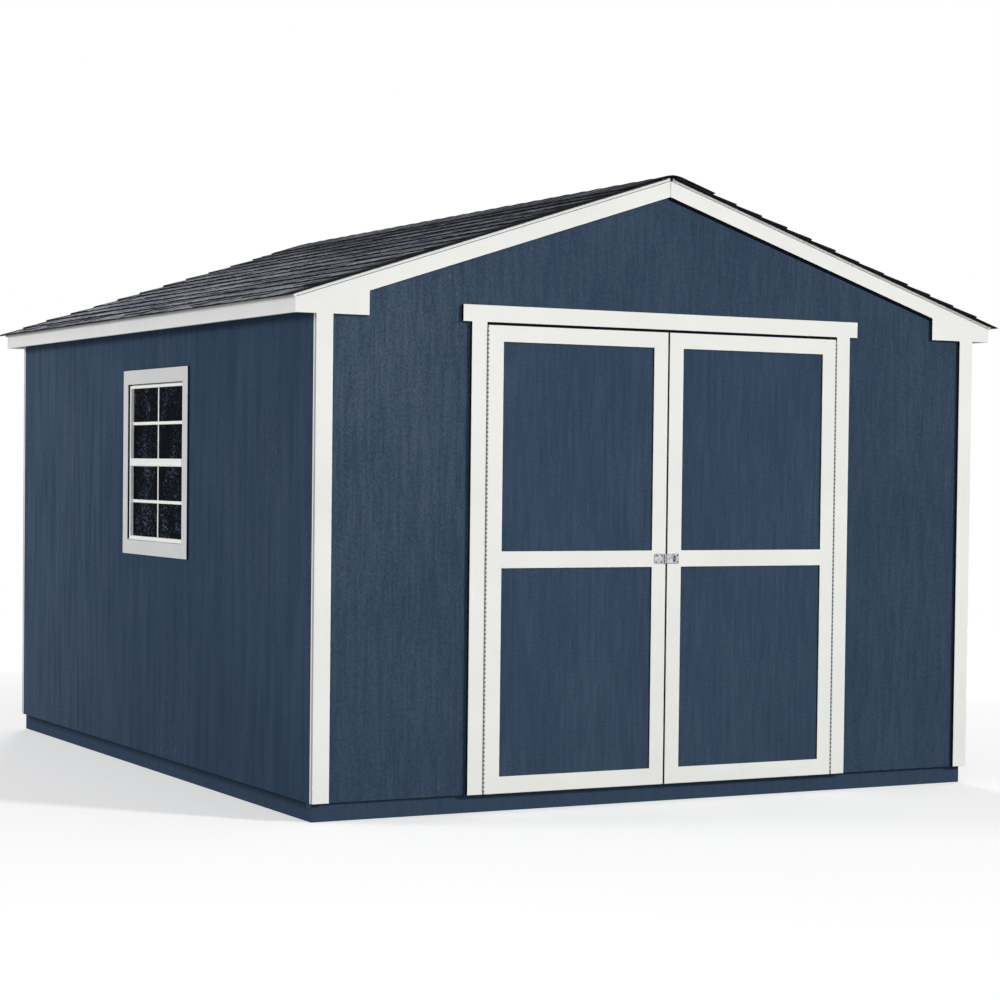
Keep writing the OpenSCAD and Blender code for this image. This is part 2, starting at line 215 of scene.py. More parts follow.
class Shader:
    """A material with one Principled shader and helpers that add nodes to it."""

    def __init__(self, name, roughness=0.5, metallic=0.0, specular=0.5):
        self.material = bpy.data.materials.new(name)
        self.material.use_nodes = True
        self.tree = self.material.node_tree
        self.bsdf = self.tree.nodes["Principled BSDF"]
        self.bsdf.inputs["Roughness"].default_value = roughness
        self.bsdf.inputs["Metallic"].default_value = metallic
        self.bsdf.inputs["Specular IOR Level"].default_value = specular

    def add(self, kind, **inputs):
        made = self.tree.nodes.new(kind)
        for key, value in inputs.items():
            made.inputs[key].default_value = value
        return made

    def join(self, source, target):
        self.tree.links.new(source, target)

    def place(self, scale):
        """Object coordinates stretched by a scale for each axis."""
        coords = self.add("ShaderNodeTexCoord")
        mapping = self.add("ShaderNodeMapping", Scale=scale)
        self.join(coords.outputs["Object"], mapping.inputs["Vector"])
        return mapping.outputs["Vector"]

    def noise(self, scale, detail=4.0, rough=0.55):
        """Noise with a number of waves per metre for each axis."""
        made = self.add("ShaderNodeTexNoise", Scale=1.0, Detail=detail, Roughness=rough)
        self.join(self.place(scale), made.inputs["Vector"])
        return made.outputs["Fac"]

    def cells(self, scale):
        """A tone of its own for each cell, with a number of cells per metre for each axis."""
        made = self.add("ShaderNodeTexVoronoi", Scale=1.0)
        self.join(self.place(scale), made.inputs["Vector"])
        return made.outputs["Color"]

    def blend(self, first, second, share):
        """Weighted sum of two values."""
        made = self.add("ShaderNodeMix", Factor=share)
        self.join(first, made.inputs["A"])
        self.join(second, made.inputs["B"])
        return made.outputs["Result"]

    def ramp(self, value, stops):
        """Colour ramp from (place, colour) pairs."""
        made = self.add("ShaderNodeValToRGB")
        points = made.color_ramp.elements
        while len(points) < len(stops):
            points.new(0.5)
        for point, (place, colour) in zip(points, stops):
            point.position = place
            point.color = (*colour, 1.0)
        self.join(value, made.inputs["Fac"])
        return made.outputs["Color"]

    def level(self, value, low, high):
        """Value as a grey step from a low to a high place."""
        return self.ramp(value, [(low, (0, 0, 0)), (high, (1, 1, 1))])

    def mix(self, factor, first, second):
        """Colour between two colours by a factor."""
        made = self.add("ShaderNodeMix")
        made.data_type = "RGBA"
        self.join(factor, made.inputs["Factor"])
        self.join(first, made.inputs["A"])
        self.join(second, made.inputs["B"])
        return made.outputs["Result"]

    def math(self, how, first, second=None, constant=None):
        """One step of arithmetic on a value, with a second value or a constant."""
        made = self.add("ShaderNodeMath")
        made.operation = how
        self.join(first, made.inputs[0])
        if second is not None:
            self.join(second, made.inputs[1])
        if constant is not None:
            made.inputs[1].default_value = constant
        return made.outputs[0]

    def colour(self, socket):
        self.join(socket, self.bsdf.inputs["Base Color"])

    def roughness(self, value, low, high):
        made = self.add("ShaderNodeMapRange", **{"To Min": low, "To Max": high})
        self.join(value, made.inputs["Value"])
        self.join(made.outputs["Result"], self.bsdf.inputs["Roughness"])

    def bump(self, height, strength, distance):
        made = self.add("ShaderNodeBump", Strength=strength, Distance=distance)
        self.join(height, made.inputs["Height"])
        self.join(made.outputs["Normal"], self.bsdf.inputs["Normal"])

    def spot(self):
        """Object coordinates, one socket for each axis."""
        coords = self.add("ShaderNodeTexCoord")
        split = self.add("ShaderNodeSeparateXYZ")
        self.join(coords.outputs["Object"], split.inputs["Vector"])
        return split.outputs

    def along(self, axis, start, end, both_ways=False):
        """0 to 1 between two places along an axis, or along it both ways from the middle."""
        made = self.add("ShaderNodeMapRange", **{"From Min": start, "From Max": end})
        way = self.spot()[axis]
        if both_ways:
            way = self.math("ABSOLUTE", way)
        self.join(way, made.inputs["Value"])
        return made.outputs["Result"]

    def outside(self, x_step, y_step):
        """1 where the surface lies outside the given distances from the middle, else 0."""
        spot = self.spot()
        wide = self.math("ABSOLUTE", spot["X"])
        deep = self.math("ABSOLUTE", spot["Y"])
        beyond_x = self.math("GREATER_THAN", wide, constant=x_step)
        beyond_y = self.math("GREATER_THAN", deep, constant=y_step)
        return self.math("MAXIMUM", beyond_x, beyond_y)


def front_light_and_wear(s):
    """Painted light and wear of the front wall: 1 high up on its left part, where the paint turns lighter
    and flecked, 0 elsewhere.
    """
    return s.math("MULTIPLY", s.along("X", -0.55, -1.25), s.along("Z", 0.3, 1.9))


def left_lighter_and_flecked(s):
    """Mask of the left wall: 1 towards the back, where the paint turns lighter and flecked."""
    return s.along("Y", 0.1, 1.2)


def shade_under_siding(s):
    """Painted shade of the floor rims: 1 close under the siding, 0 further down."""
    return s.along("Z", SKIRT_Z - 0.034, SKIRT_Z - 0.006)


def navy_paint(name, contrast, shade=(1.0, 1.0, 1.0), lighter_and_flecked=None, streaks=(85, 85, 6), streak_share=0.38,
               bare_inside=True, shade_mask=None):
    """Navy paint over wood grain that runs up the wall, bare on the inner side, lighter and flecked where a
    mask is given (painted light on the front wall), and darker under the siding as painted shade where
    asked.
    """
    s = Shader(name, roughness=0.75, specular=0.02)
    streak = s.noise(streaks, detail=3, rough=0.5)
    fine = s.noise((155, 95, 115), detail=2)
    band = s.noise((9, 9, 0.35), detail=2)
    patch = s.noise((2.2, 2.2, 1.6), detail=3)
    grain = s.blend(fine, streak, streak_share)
    tone = s.blend(s.blend(grain, band, 0.08), patch, 0.16)

    def paint_ramp(spread, tones):
        stops = zip((0.5 - spread, 0.5, 0.5 + spread), tones)
        return s.ramp(tone, [(at, tuple(v * k for v, k in zip(colour, shade))) for at, colour in stops])

    spread = 0.15 / contrast
    paint = paint_ramp(spread, ((0.0235, 0.042, 0.074), (0.0335, 0.0555, 0.0925), (0.048, 0.073, 0.114)))
    # Lighter paint with tan flecks where the mask is 1; on the front wall the lighter paint is painted
    # light.
    if lighter_and_flecked:
        lighter_tone = paint_ramp(0.085, ((0.030, 0.0505, 0.084), (0.0445, 0.0695, 0.110), (0.064, 0.091, 0.134)))
        paint = s.mix(lighter_and_flecked(s), paint, lighter_tone)
        spots = s.noise((150, 150, 34), detail=2)
        places = s.noise((3.1, 3.1, 1.3), detail=2)
        chance = s.blend(spots, places, 0.36)
        tan = s.ramp(fine, [(0.3, (0.10, 0.09, 0.08)), (0.7, (0.22, 0.17, 0.13))])
        paint = s.mix(s.level(chance, 0.676, 0.696), paint, tan)
    # Painted shade: darker paint where the mask is 1, close under the siding.
    if shade_mask:
        dark = paint_ramp(spread, ((0.009, 0.016, 0.028), (0.0125, 0.021, 0.035), (0.0175, 0.0275, 0.0435)))
        paint = s.mix(shade_mask(s), paint, dark)
    if bare_inside:
        bare = s.ramp(tone, [(0.35, (0.26, 0.17, 0.095)), (0.65, (0.42, 0.29, 0.17))])
        paint = s.mix(s.outside(PAINT_IN_X, PAINT_IN_Y), bare, paint)
    s.colour(paint)
    s.roughness(fine, 0.65, 0.85)
    s.bump(grain, 0.2, 0.0012)
    return s.material


def white_paint(name, tint=(0.80, 0.808, 0.768), gloss=0.5):
    """Off-white paint with a faint roller texture and a little unevenness."""
    s = Shader(name, roughness=gloss, specular=0.15)
    patch = s.noise((3, 3, 3), detail=3)
    grain = s.noise((140, 140, 140), detail=2)
    low = tuple(0.97 * v for v in tint)
    high = tuple(min(1.03 * v, 1.0) for v in tint)
    s.colour(s.ramp(s.blend(patch, grain, 0.3), [(0.35, low), (0.65, high)]))
    s.roughness(patch, gloss - 0.06, gloss + 0.06)
    s.bump(s.noise((260, 260, 260), detail=2), 0.08, 0.0006)
    return s.material


def sheathing_board(name):
    """Strand board under the roof, painted white on the edges that stand out."""
    s = Shader(name, roughness=0.7, specular=0.3)
    strands = s.cells((34, 11, 34))
    fine = s.noise((60, 240, 60), detail=3)
    wood = s.ramp(s.blend(strands, fine, 0.35), [(0.2, (0.24, 0.145, 0.07)), (0.5, (0.43, 0.29, 0.155)),
                                                 (0.85, (0.58, 0.42, 0.24))])
    patch = s.noise((3, 3, 3), detail=2)
    white = s.ramp(patch, [(0.3, (0.78, 0.79, 0.75)), (0.7, (0.81, 0.818, 0.78))])
    s.colour(s.mix(s.outside(EAVE_X - 0.0004, FACE_Y - 0.0004), wood, white))
    return s.material


def shingle_granules(name, own_tone=0.13, ridge_span=(2.2, 2.56)):
    """Grey mineral granules, with a tone of its own for each shingle, lighter towards the back, darker
    towards the ridge, and darker along the rakes as painted shade.
    """
    s = Shader(name, roughness=0.95, specular=0.0)
    grit = s.cells((420, 420, 420))
    cloud = s.noise((24, 52, 24), detail=3, rough=0.6)
    island = s.add("ShaderNodeNewGeometry").outputs["Random Per Island"]
    spread = s.blend(cloud, island, own_tone)
    dark = s.ramp(spread, [(0.36, (0.050, 0.057, 0.076)), (0.50, (0.135, 0.147, 0.178)),
                           (0.64, (0.31, 0.33, 0.37))])
    light = s.ramp(spread, [(0.36, (0.175, 0.19, 0.225)), (0.50, (0.35, 0.37, 0.415)),
                            (0.64, (0.66, 0.68, 0.72))])
    grit_lighter_to_back = s.blend(s.level(grit, 0.25, 0.75), s.along("Y", -1.6, 1.8), 0.5)
    darker_granules = s.ramp(spread, [(0.35, (0.014, 0.016, 0.020)), (0.65, (0.072, 0.077, 0.092))])
    grey = s.mix(s.along("Z", *ridge_span), s.mix(grit_lighter_to_back, dark, light), darker_granules)
    # Darker band along every rake: painted shade.
    rake = s.along("Y", SHINGLE_Y - 0.17, SHINGLE_Y - 0.02, both_ways=True)
    s.colour(s.mix(s.level(s.blend(rake, cloud, 0.25), 0.35, 0.65), grey, darker_granules))
    s.bump(grit, 0.3, 0.0008)
    return s.material


def asphalt(name):
    """Near-black asphalt of cut shingle edges."""
    s = Shader(name, roughness=0.8, specular=0.05)
    grit = s.noise((180, 180, 180), detail=3)
    s.colour(s.ramp(grit, [(0.35, (0.007, 0.0075, 0.010)), (0.65, (0.017, 0.018, 0.022))]))
    s.bump(grit, 0.4, 0.0008)
    return s.material


def sawn_lumber(name, along):
    """Bare softwood with its grain along one axis."""
    s = Shader(name, roughness=0.65, specular=0.3)
    scale, fine_scale = [42.0] * 3, [190.0] * 3
    scale[along], fine_scale[along] = 1.4, 5.0
    ring = s.noise(tuple(scale), detail=3, rough=0.5)
    fine = s.noise(tuple(fine_scale), detail=3)
    island = s.add("ShaderNodeNewGeometry").outputs["Random Per Island"]
    tone = s.blend(s.blend(ring, fine, 0.35), island, 0.14)
    s.colour(s.ramp(tone, [(0.3, (0.36, 0.22, 0.11)), (0.5, (0.56, 0.385, 0.21)),
                           (0.7, (0.66, 0.49, 0.30))]))
    s.bump(fine, 0.25, 0.0006)
    return s.material


def plywood(name):
    """Bare plywood floor with broad peeled grain along the sheets."""
    s = Shader(name, roughness=0.6, specular=0.3)
    broad = s.noise((2.2, 15, 15), detail=4, rough=0.6)
    fine = s.noise((6, 150, 150), detail=3)
    tone = s.blend(broad, fine, 0.3)
    s.colour(s.ramp(tone, [(0.3, (0.30, 0.19, 0.10)), (0.5, (0.47, 0.325, 0.185)),
                           (0.7, (0.57, 0.42, 0.26))]))
    s.bump(fine, 0.2, 0.0006)
    return s.material


def galvanized(name):
    """Zinc-coated sheet with a soft spangle."""
    s = Shader(name, roughness=0.5, metallic=0.6)
    spangle = s.cells((150, 150, 150))
    cloud = s.noise((70, 70, 70), detail=3)
    s.colour(s.ramp(s.blend(spangle, cloud, 0.4), [(0.2, (0.16, 0.165, 0.175)), (0.45, (0.33, 0.335, 0.345)),
                                                   (0.8, (0.50, 0.505, 0.51))]))
    s.roughness(cloud, 0.42, 0.6)
    return s.material


def dark_steel(name):
    """Darkened zinc of screws and pins."""
    s = Shader(name, roughness=0.45, metallic=0.8)
    cloud = s.noise((220, 220, 220), detail=3)
    s.colour(s.ramp(cloud, [(0.3, (0.10, 0.10, 0.105)), (0.7, (0.22, 0.22, 0.225))]))
    return s.material


def dark_glass(name):
    """Window glass before a dark room, with small broken reflections of trees painted into its colour."""
    s = Shader(name, roughness=0.06, specular=0.001)
    leaf_reflections = s.noise((62, 62, 120), detail=3, rough=0.6)
    tree_reflections = s.noise((8, 8, 5), detail=3)
    shade = s.blend(leaf_reflections, tree_reflections, 0.35)
    s.colour(s.ramp(shade, [(0.525, (0.0045, 0.005, 0.0065)), (0.55, (0.010, 0.0155, 0.029)),
                            (0.60, (0.022, 0.031, 0.050)), (0.67, (0.115, 0.125, 0.14))]))
    s.bsdf.inputs["Alpha"].default_value = 0.97
    return s.material


# The shade factors make lighter and darker copies of the one navy paint for each wall, the doors and the
# rims: painted light and shade.
NAVY = navy_paint("navy_paint", 1.5)
NAVY_LEFT = navy_paint("navy_left_paint", 1.35, (0.935, 0.99, 1.035), left_lighter_and_flecked, (34, 23, 2.0), 0.4)
NAVY_FRONT = navy_paint("navy_front_paint", 1.3, (1.02, 1.02, 1.02), front_light_and_wear)
NAVY_DOOR = navy_paint("navy_door_paint", 1.15, (1.075, 1.075, 1.075))
NAVY_RIM = navy_paint("navy_rim_paint", 0.6, (1.06, 1.06, 1.06), bare_inside=False)
NAVY_SIDE_RIM_SHADED = navy_paint("navy_side_rim_paint_shaded", 0.6, (1.06, 1.06, 1.06), bare_inside=False,
                           shade_mask=shade_under_siding)
# Navy of the siding's paint lapped onto board edges, darkened to 0.3 as painted shade.
NAVY_SHADED_EDGE = navy_paint("navy_edge_paint_and_shade", 0.7, (0.3, 0.3, 0.3), bare_inside=False)
WHITE = white_paint("white_paint")
# Grey copy of the trim white for the outer corner edges: painted shade.
SHADE_GREY_EDGE = white_paint("grey_painted_shade_edge", (0.36, 0.37, 0.375))
# Grey and near-black copies of the hinge's white paint for alternate knuckles: painted shade of the gap by
# the hinge.
HINGE_GREY = white_paint("hinge_grey", (0.55, 0.56, 0.57), gloss=0.42)
HINGE_DARK = white_paint("hinge_dark", (0.16, 0.17, 0.19), gloss=0.42)
# Slightly darker, cooler copy of the trim white for the fascias: painted shade.
FASCIA_WHITE = white_paint("fascia_white", (0.765, 0.768, 0.76))
CASING_WHITE = white_paint("window_casing_white", (0.635, 0.64, 0.645))
CAULK = white_paint("caulk_grey", (0.58, 0.59, 0.61), gloss=0.6)
# Darker copy of the caulk for the beads on the left slope: painted shade.
SHADE_LINE_DARK = white_paint("shade_line_dark", (0.20, 0.205, 0.225), gloss=0.6)
VINYL = white_paint("window_white", (0.90, 0.905, 0.875), gloss=0.4)
SHEATHING = sheathing_board("sheathing_board")
SHINGLE = shingle_granules("shingle_granules")
CAP_SHINGLE = shingle_granules("cap_granules", own_tone=0.15, ridge_span=(2.3, 2.77))
ASPHALT = asphalt("asphalt")
LUMBER = [sawn_lumber(f"lumber_{axis}", i) for i, axis in enumerate("xyz")]
DECK = plywood("floor_plywood")
ZINC = galvanized("galvanized_sheet")
SCREW = dark_steel("screw_steel")
# Near-black navy for the ridge plugs and for the painted shadow beads under the rakes.
PLUG_AND_SHADOW_DARK = navy_paint("weather_strip", 0.5, (0.16, 0.16, 0.16), bare_inside=False)
GLASS = dark_glass("dark_window_glass")


# Mesh helpers


def side_name(side):
    """Name of a side of the shed, as one faces the doors."""
    return "right" if side > 0 else "left"


def piece(name, bm, materials, body, stands_for=(), smooth=False, pick=None):
    """Turns a bmesh into a piece that rides on a body; pick gives the place of a face's material."""
    bmesh.ops.recalc_face_normals(bm, faces=bm.faces)
    for face in bm.faces:
        face.material_index = int(pick(face)) if pick else 0
    mesh = bpy.data.meshes.new(name)
    bm.to_mesh(mesh)
    bm.free()
    for material in materials:
        mesh.materials.append(material)
    if smooth:
        mesh.shade_smooth()
        mesh.set_sharp_from_angle(angle=SMOOTH_ANGLE)
    made = bpy.data.objects.new(name, mesh)
    bpy.context.scene.collection.objects.link(made)
    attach(made, body)
    if stands_for:
        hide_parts(*stands_for)


def soften(bm, width=EDGE, segments=2, sharp=0.5):
    """Rounds the sharp edges."""
    bmesh.ops.recalc_face_normals(bm, faces=bm.faces)
    edges = [e for e in bm.edges if e.is_manifold and e.calc_face_angle(0) > sharp]
    bmesh.ops.bevel(bm, geom=edges, offset=width, segments=segments, profile=0.5, affect="EDGES",
                    clamp_overlap=True)


def block(bm, low, high):
    """Box between two corners, in any order."""
    xs, ys, zs = zip(low, high)
    corners = [bm.verts.new((x, y, z)) for x in sorted(xs) for y in sorted(ys) for z in sorted(zs)]
    for ring in ((0, 1, 3, 2), (4, 6, 7, 5), (0, 4, 5, 1), (2, 3, 7, 6), (0, 2, 6, 4), (1, 5, 7, 3)):
        bm.faces.new([corners[i] for i in ring])


def loft(bm, loops):
    """Closed solid through loops of vertices, with a face on both ends."""
    for one, two in zip(loops, loops[1:]):
        for i in range(len(one)):
            j = (i + 1) % len(one)
            bm.faces.new((one[i], one[j], two[j], two[i]))
    bm.faces.new(loops[0][::-1])
    bm.faces.new(loops[-1])


def outline_along_y(bm, points, low, high):
    """Solid with an outline in X and Z between two places along Y."""
    loft(bm, [[bm.verts.new((x, y, z)) for x, z in points] for y in (low, high)])


def grid_solid(bm, us, vs, empty, place, depth):
    """Solid from a grid of cells, some of them left open; place turns (u, v, w) into a point."""
    verts = {}

    def corner(i, j, w):
        key = (i, j, w)
        if key not in verts:
            verts[key] = bm.verts.new(place(us[i], vs[j], w))
        return verts[key]

    filled = [(i, j) for i in range(len(us) - 1) for j in range(len(vs) - 1) if (i, j) not in empty]
    for i, j in filled:
        ring = ((i, j), (i + 1, j), (i + 1, j + 1), (i, j + 1))
        for w in (0, depth):
            bm.faces.new([corner(a, b, w) for a, b in ring])
        steps = ((i, j - 1), (i + 1, j), (i, j + 1), (i - 1, j))
        for n, step in enumerate(steps):
            if step not in filled:
                a, b = ring[n], ring[(n + 1) % 4]
                bm.faces.new((corner(*a, 0), corner(*b, 0), corner(*b, depth), corner(*a, depth)))


def angles(sides):
    """Angles of the corners of a regular outline."""
    return [2 * math.pi * k / sides for k in range(sides)]


def round_loops(bm, at, ahead, rings, sides):
    """Loops of vertices round an axis, one for each radius and way along the axis."""
    turn = Vector((0, 0, 1)).rotation_difference(Vector(ahead).normalized()).to_matrix()
    loops = []
    for radius, way in rings:
        spots = [Vector((radius * math.cos(a), radius * math.sin(a), way)) for a in angles(sides)]
        loops.append([bm.verts.new(Vector(at) + turn @ spot) for spot in spots])
    return loops


def rod(bm, start, end, radius, sides=16, lip=0.0):
    """Round rod between two points, its ends rounded off by a lip."""
    ahead = Vector(end) - Vector(start)
    length = ahead.length
    rings = [(radius - lip, 0.0), (radius, lip), (radius, length - lip), (radius - lip, length)]
    if lip == 0.0:
        rings = [(radius, 0.0), (radius, length)]
    loft(bm, round_loops(bm, start, ahead, rings, sides))


def screw_head(bm, at, out, radius=0.0042, tall=0.0022):
    """Domed screw head with a hollow for the driver, standing out from a face."""
    profile = ((1.0, 0.0), (1.0, 0.35), (0.8, 0.75), (0.5, 1.0), (0.38, 0.45))
    rings = [(radius * r, tall * h) for r, h in profile]
    loft(bm, round_loops(bm, at, out, rings, 14))


# Siding


def front_siding():
    """The front wall as one sheet, cut out for the doors."""
    half = [(JAMB_X, HEAD_Z), (JAMB_X, SKIRT_Z), (OUT_X, SKIRT_Z), (OUT_X, roof_under(OUT_X))]
    mirrored = [(-x, z) for x, z in reversed(half)]
    bm = bmesh.new()
    outline_along_y(bm, half + [(0, roof_under(0))] + mirrored, -OUT_Y, -HALF_D)
    piece("front_siding", bm, (NAVY_FRONT, WHITE), "root",
          ("front_left_siding", "front_right_siding", "front_gable_siding"), pick=outer_end)


def back_siding():
    """The back wall as one sheet."""
    points = [(-OUT_X, SKIRT_Z), (OUT_X, SKIRT_Z), (OUT_X, roof_under(OUT_X)), (0, roof_under(0)),
              (-OUT_X, roof_under(OUT_X))]
    bm = bmesh.new()
    outline_along_y(bm, points, HALF_D, OUT_Y)
    piece("back_siding", bm, (NAVY, WHITE), "root", ("back_wall_siding",), pick=outer_end)


def outer_end(face):
    """End of a sheet of siding at the building's corner, which the trim's paint covers."""
    return abs(face.normal.x) > 0.9 and abs(face.calc_center_median().x) > OUT_X - EDGE


# Trim


def inner_edge(face):
    """Edge of a board that meets the siding, where the siding's paint laps onto it and is darkened as
    painted shade; outer corner edges take a grey painted shade.
    """
    at = face.calc_center_median()
    sideways = abs(face.normal.y) < 0.5 and face.normal.z < 0.5
    outer = abs(face.normal.x) > 0.9 and abs(at.x) > OUT_X - EDGE and at.z < EAVE_Z
    # Outer corner edges take the grey painted shade.
    if outer:
        return 2
    return sideways and abs(at.x) < OUT_X - 0.01


def gable_trim(end, side):
    """Rake, its level return and the corner board under it, as one painted piece."""
    joint = CAULK_W / 2
    foot = EAVE_X - RETURN_W
    board = OUT_X - CORNER_W
    points = [(joint, rake_under(joint)), (foot, rake_under(foot)), (foot, EAVE_Z), (board, EAVE_Z),
              (board, SKIRT_Z), (OUT_X, SKIRT_Z), (OUT_X, EAVE_Z), (EAVE_X, EAVE_Z),
              (EAVE_X, roof_under(EAVE_X)), (joint, roof_under(joint))]
    bm = bmesh.new()
    outline_along_y(bm, [(side * x, z) for x, z in points], end * OUT_Y, end * FACE_Y)
    soften(bm, EDGE)
    name = f"gable_trim_{'back' if end > 0 else 'front'}_{side_name(side)}"
    piece(name, bm, (WHITE, NAVY_SHADED_EDGE, SHADE_GREY_EDGE), "root", ("corner_boards", "rake_boards"),
          pick=inner_edge)


def caulk_and_shade_lines():
    """Thin beads of caulk in the joint at each peak, and beads under the edge of the sheathing that paint
    its thin shadow line, darker on the left slope.
    """
    bm = bmesh.new()
    joint = CAULK_W / 2
    ways = (0.002, EAVE_X / math.cos(PITCH) - 0.002)
    for end in (-1, 1):
        ys = (end * (FACE_Y - 0.002), end * (FACE_Y + 0.0005))
        for side, wide in ((-1, 1.5 * CAULK_W), (1, CAULK_W)):
            slope_sheet(bm, side, ys, ways, (-SHEATHING_T - wide, -SHEATHING_T))
        block(bm, (-joint, ys[0], rake_under(0) + SINK), (joint, end * (FACE_Y + HAIR), roof_under(0)))
    piece("caulk_and_shade_lines", bm, (CAULK, SHADE_LINE_DARK), "root",
          pick=lambda face: face.calc_center_median().x < -CAULK_W)


def ridge_plugs():
    """Dark plugs in the ends of the gap under the ridge caps."""
    bm = bmesh.new()
    for end in (-1, 1):
        block(bm, (-PLUG_X, end * HALF_D, roof_under(0) + 0.0005),
              (PLUG_X, end * (FACE_Y + SHEATHING_LIP - SINK), RIDGE_Z))
    piece("ridge_plugs", bm, (PLUG_AND_SHADOW_DARK,), "root")


def rake_shadow_beads():
    """Dark beads in the corner between the siding and the lower edge of each rake, larger on the right: a
    painted shadow under the rakes.
    """
    bm = bmesh.new()
    low = OUT_Y - SINK
    for end in (-1, 1):
        for side, size in ((-1, SHADOW_BEAD_LEFT), (1, SHADOW_BEAD_RIGHT)):
            rows = []
            for x in (0.0, EAVE_X - RETURN_W):
                z = rake_under(x)
                corners = ((low, z + SINK), (OUT_Y + size, z + SINK), (low, z - size))
                rows.append([bm.verts.new((side * x, end * y, h)) for y, h in corners])
            loft(bm, rows)
    piece("rake_shadow_beads", bm, (PLUG_AND_SHADOW_DARK,), "root")


def door_casing():
    """Side casings and the board over the doors, as one painted piece."""
    reach = JAMB_X + CASING_W + HEAD_EAR
    top = HEAD_Z + HEAD_H
    edge = JAMB_X - HINGE_LAP
    half = [(edge, HEAD_Z), (edge, SKIRT_Z), (JAMB_X + CASING_W, SKIRT_Z), (JAMB_X + CASING_W, HEAD_Z),
            (reach, HEAD_Z), (reach, top)]
    mirrored = [(-x, z) for x, z in reversed(half)]
    bm = bmesh.new()
    outline_along_y(bm, half + mirrored, -CASING_FACE, -OUT_Y)
    soften(bm, EDGE)
    piece("door_casing", bm, (WHITE, NAVY_SHADED_EDGE), "root",
          ("door_side_casings", "door_head_casing"), pick=inner_edge)


def copied(node, name, materials, width=EDGE, pick=None):
    """Copy of a CAD node with rounded edges."""
    bm = bmesh.new()
    bm.from_mesh(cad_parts[node].data)
    bm.transform(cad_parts[node].matrix_world)
    bmesh.ops.remove_doubles(bm, verts=bm.verts, dist=1e-5)
    bmesh.ops.dissolve_limit(bm, angle_limit=0.01, verts=bm.verts, edges=bm.edges)
    soften(bm, width)
    piece(name, bm, materials, "root", (node,), pick=pick)


# Doors


def door_frame(side):
    """Stiles and rails of a door as one painted frame."""
    us = [LEAF_IN, LEAF_IN + STILE_W, LEAF_X - STILE_W, LEAF_X + HINGE_LAP]
    low = LOCK_Z - RAIL_H / 2
    top = LEAF_TOP - FRAME_DROP
    vs = [SKIRT_Z, SKIRT_Z + RAIL_H, low, low + RAIL_H, LEAF_TOP - RAIL_H, top]
    bm = bmesh.new()
    grid_solid(bm, us, vs, {(1, 1), (1, 3)}, lambda u, v, w: (side * u, -LEAF_FACE + w, v), TRIM_T)
    soften(bm, EDGE)
    name = side_name(side)
    piece(f"{name}_door_frame", bm, (WHITE, NAVY_SHADED_EDGE), f"{name}_door",
          (f"{name}_door_stiles", f"{name}_door_rails"), pick=panel_edge)


def panel_edge(face):
    """Edge of a door's frame that meets its panel, where the panel's paint laps onto it and is darkened as
    painted shade.
    """
    at = face.calc_center_median()
    across = LEAF_IN + STILE_W / 2 < abs(at.x) < LEAF_X - STILE_W / 2
    within = across and SKIRT_Z + EDGE < at.z < LEAF_TOP - EDGE
    return within and abs(face.normal.y) < 0.5 and face.normal.z < 0.5


def door_skins(side):
    """Sheets of siding in the two fields of a door's frame, over its panel."""
    bm = bmesh.new()
    low = LOCK_Z - RAIL_H / 2
    for z0, z1 in ((SKIRT_Z + RAIL_H, low), (low + RAIL_H, LEAF_TOP - RAIL_H)):
        block(bm, (side * (LEAF_IN + STILE_W), -STILE_Y, z0),
              (side * (LEAF_X - STILE_W), -STILE_Y - SKIN_T, z1))
    name = side_name(side)
    piece(f"{name}_door_skins", bm, (NAVY_DOOR,), f"{name}_door")


def hinge_knuckles(side):
    """Continuous hinge with short knuckles, every second one on the door, the two halves in grey and
    near-black as painted shade.
    """
    name = side_name(side)
    door = bmesh.new()
    jamb = bmesh.new()
    pin = side * HINGE_X
    for k in range(int((HINGE_TIP - HINGE_FOOT) / KNUCKLE)):
        low = HINGE_FOOT + k * KNUCKLE + KNUCKLE_GAP / 2
        high = low + KNUCKLE - KNUCKLE_GAP
        on_door = k % 2 == 0
        bm = door if on_door else jamb
        radius = DOOR_KNUCKLE_R if on_door else JAMB_KNUCKLE_R
        edge = LEAF_X if on_door else JAMB_X - HINGE_T
        rod(bm, (pin, -HINGE_Y, low), (pin, -HINGE_Y, high), radius, 12, KNUCKLE_LIP)
        block(bm, (side * edge, -HINGE_Y, low), (side * (edge + HINGE_T), -HINGE_Y + 0.005, high))
    block(door, (side * LEAF_X, -HINGE_PLATE_Y, HINGE_FOOT),
          (side * (LEAF_X + HINGE_T), -PANEL_Y, HINGE_TIP))
    block(jamb, (side * (JAMB_X - HINGE_T), -HINGE_PLATE_Y, HINGE_FOOT),
          (side * JAMB_X, -HALF_D, HINGE_TIP))
    rod(jamb, (pin, -HINGE_Y, HINGE_FOOT), (pin, -HINGE_Y, HINGE_TIP), HINGE_PIN_R, 10)
    piece(f"{name}_hinge_door_half", door, (HINGE_DARK,), f"{name}_door",
          (f"{name}_door_hinge",), smooth=True)
    piece(f"{name}_hinge_jamb_half", jamb, (HINGE_GREY,), "root", ("jamb_hinges",),
          smooth=True)


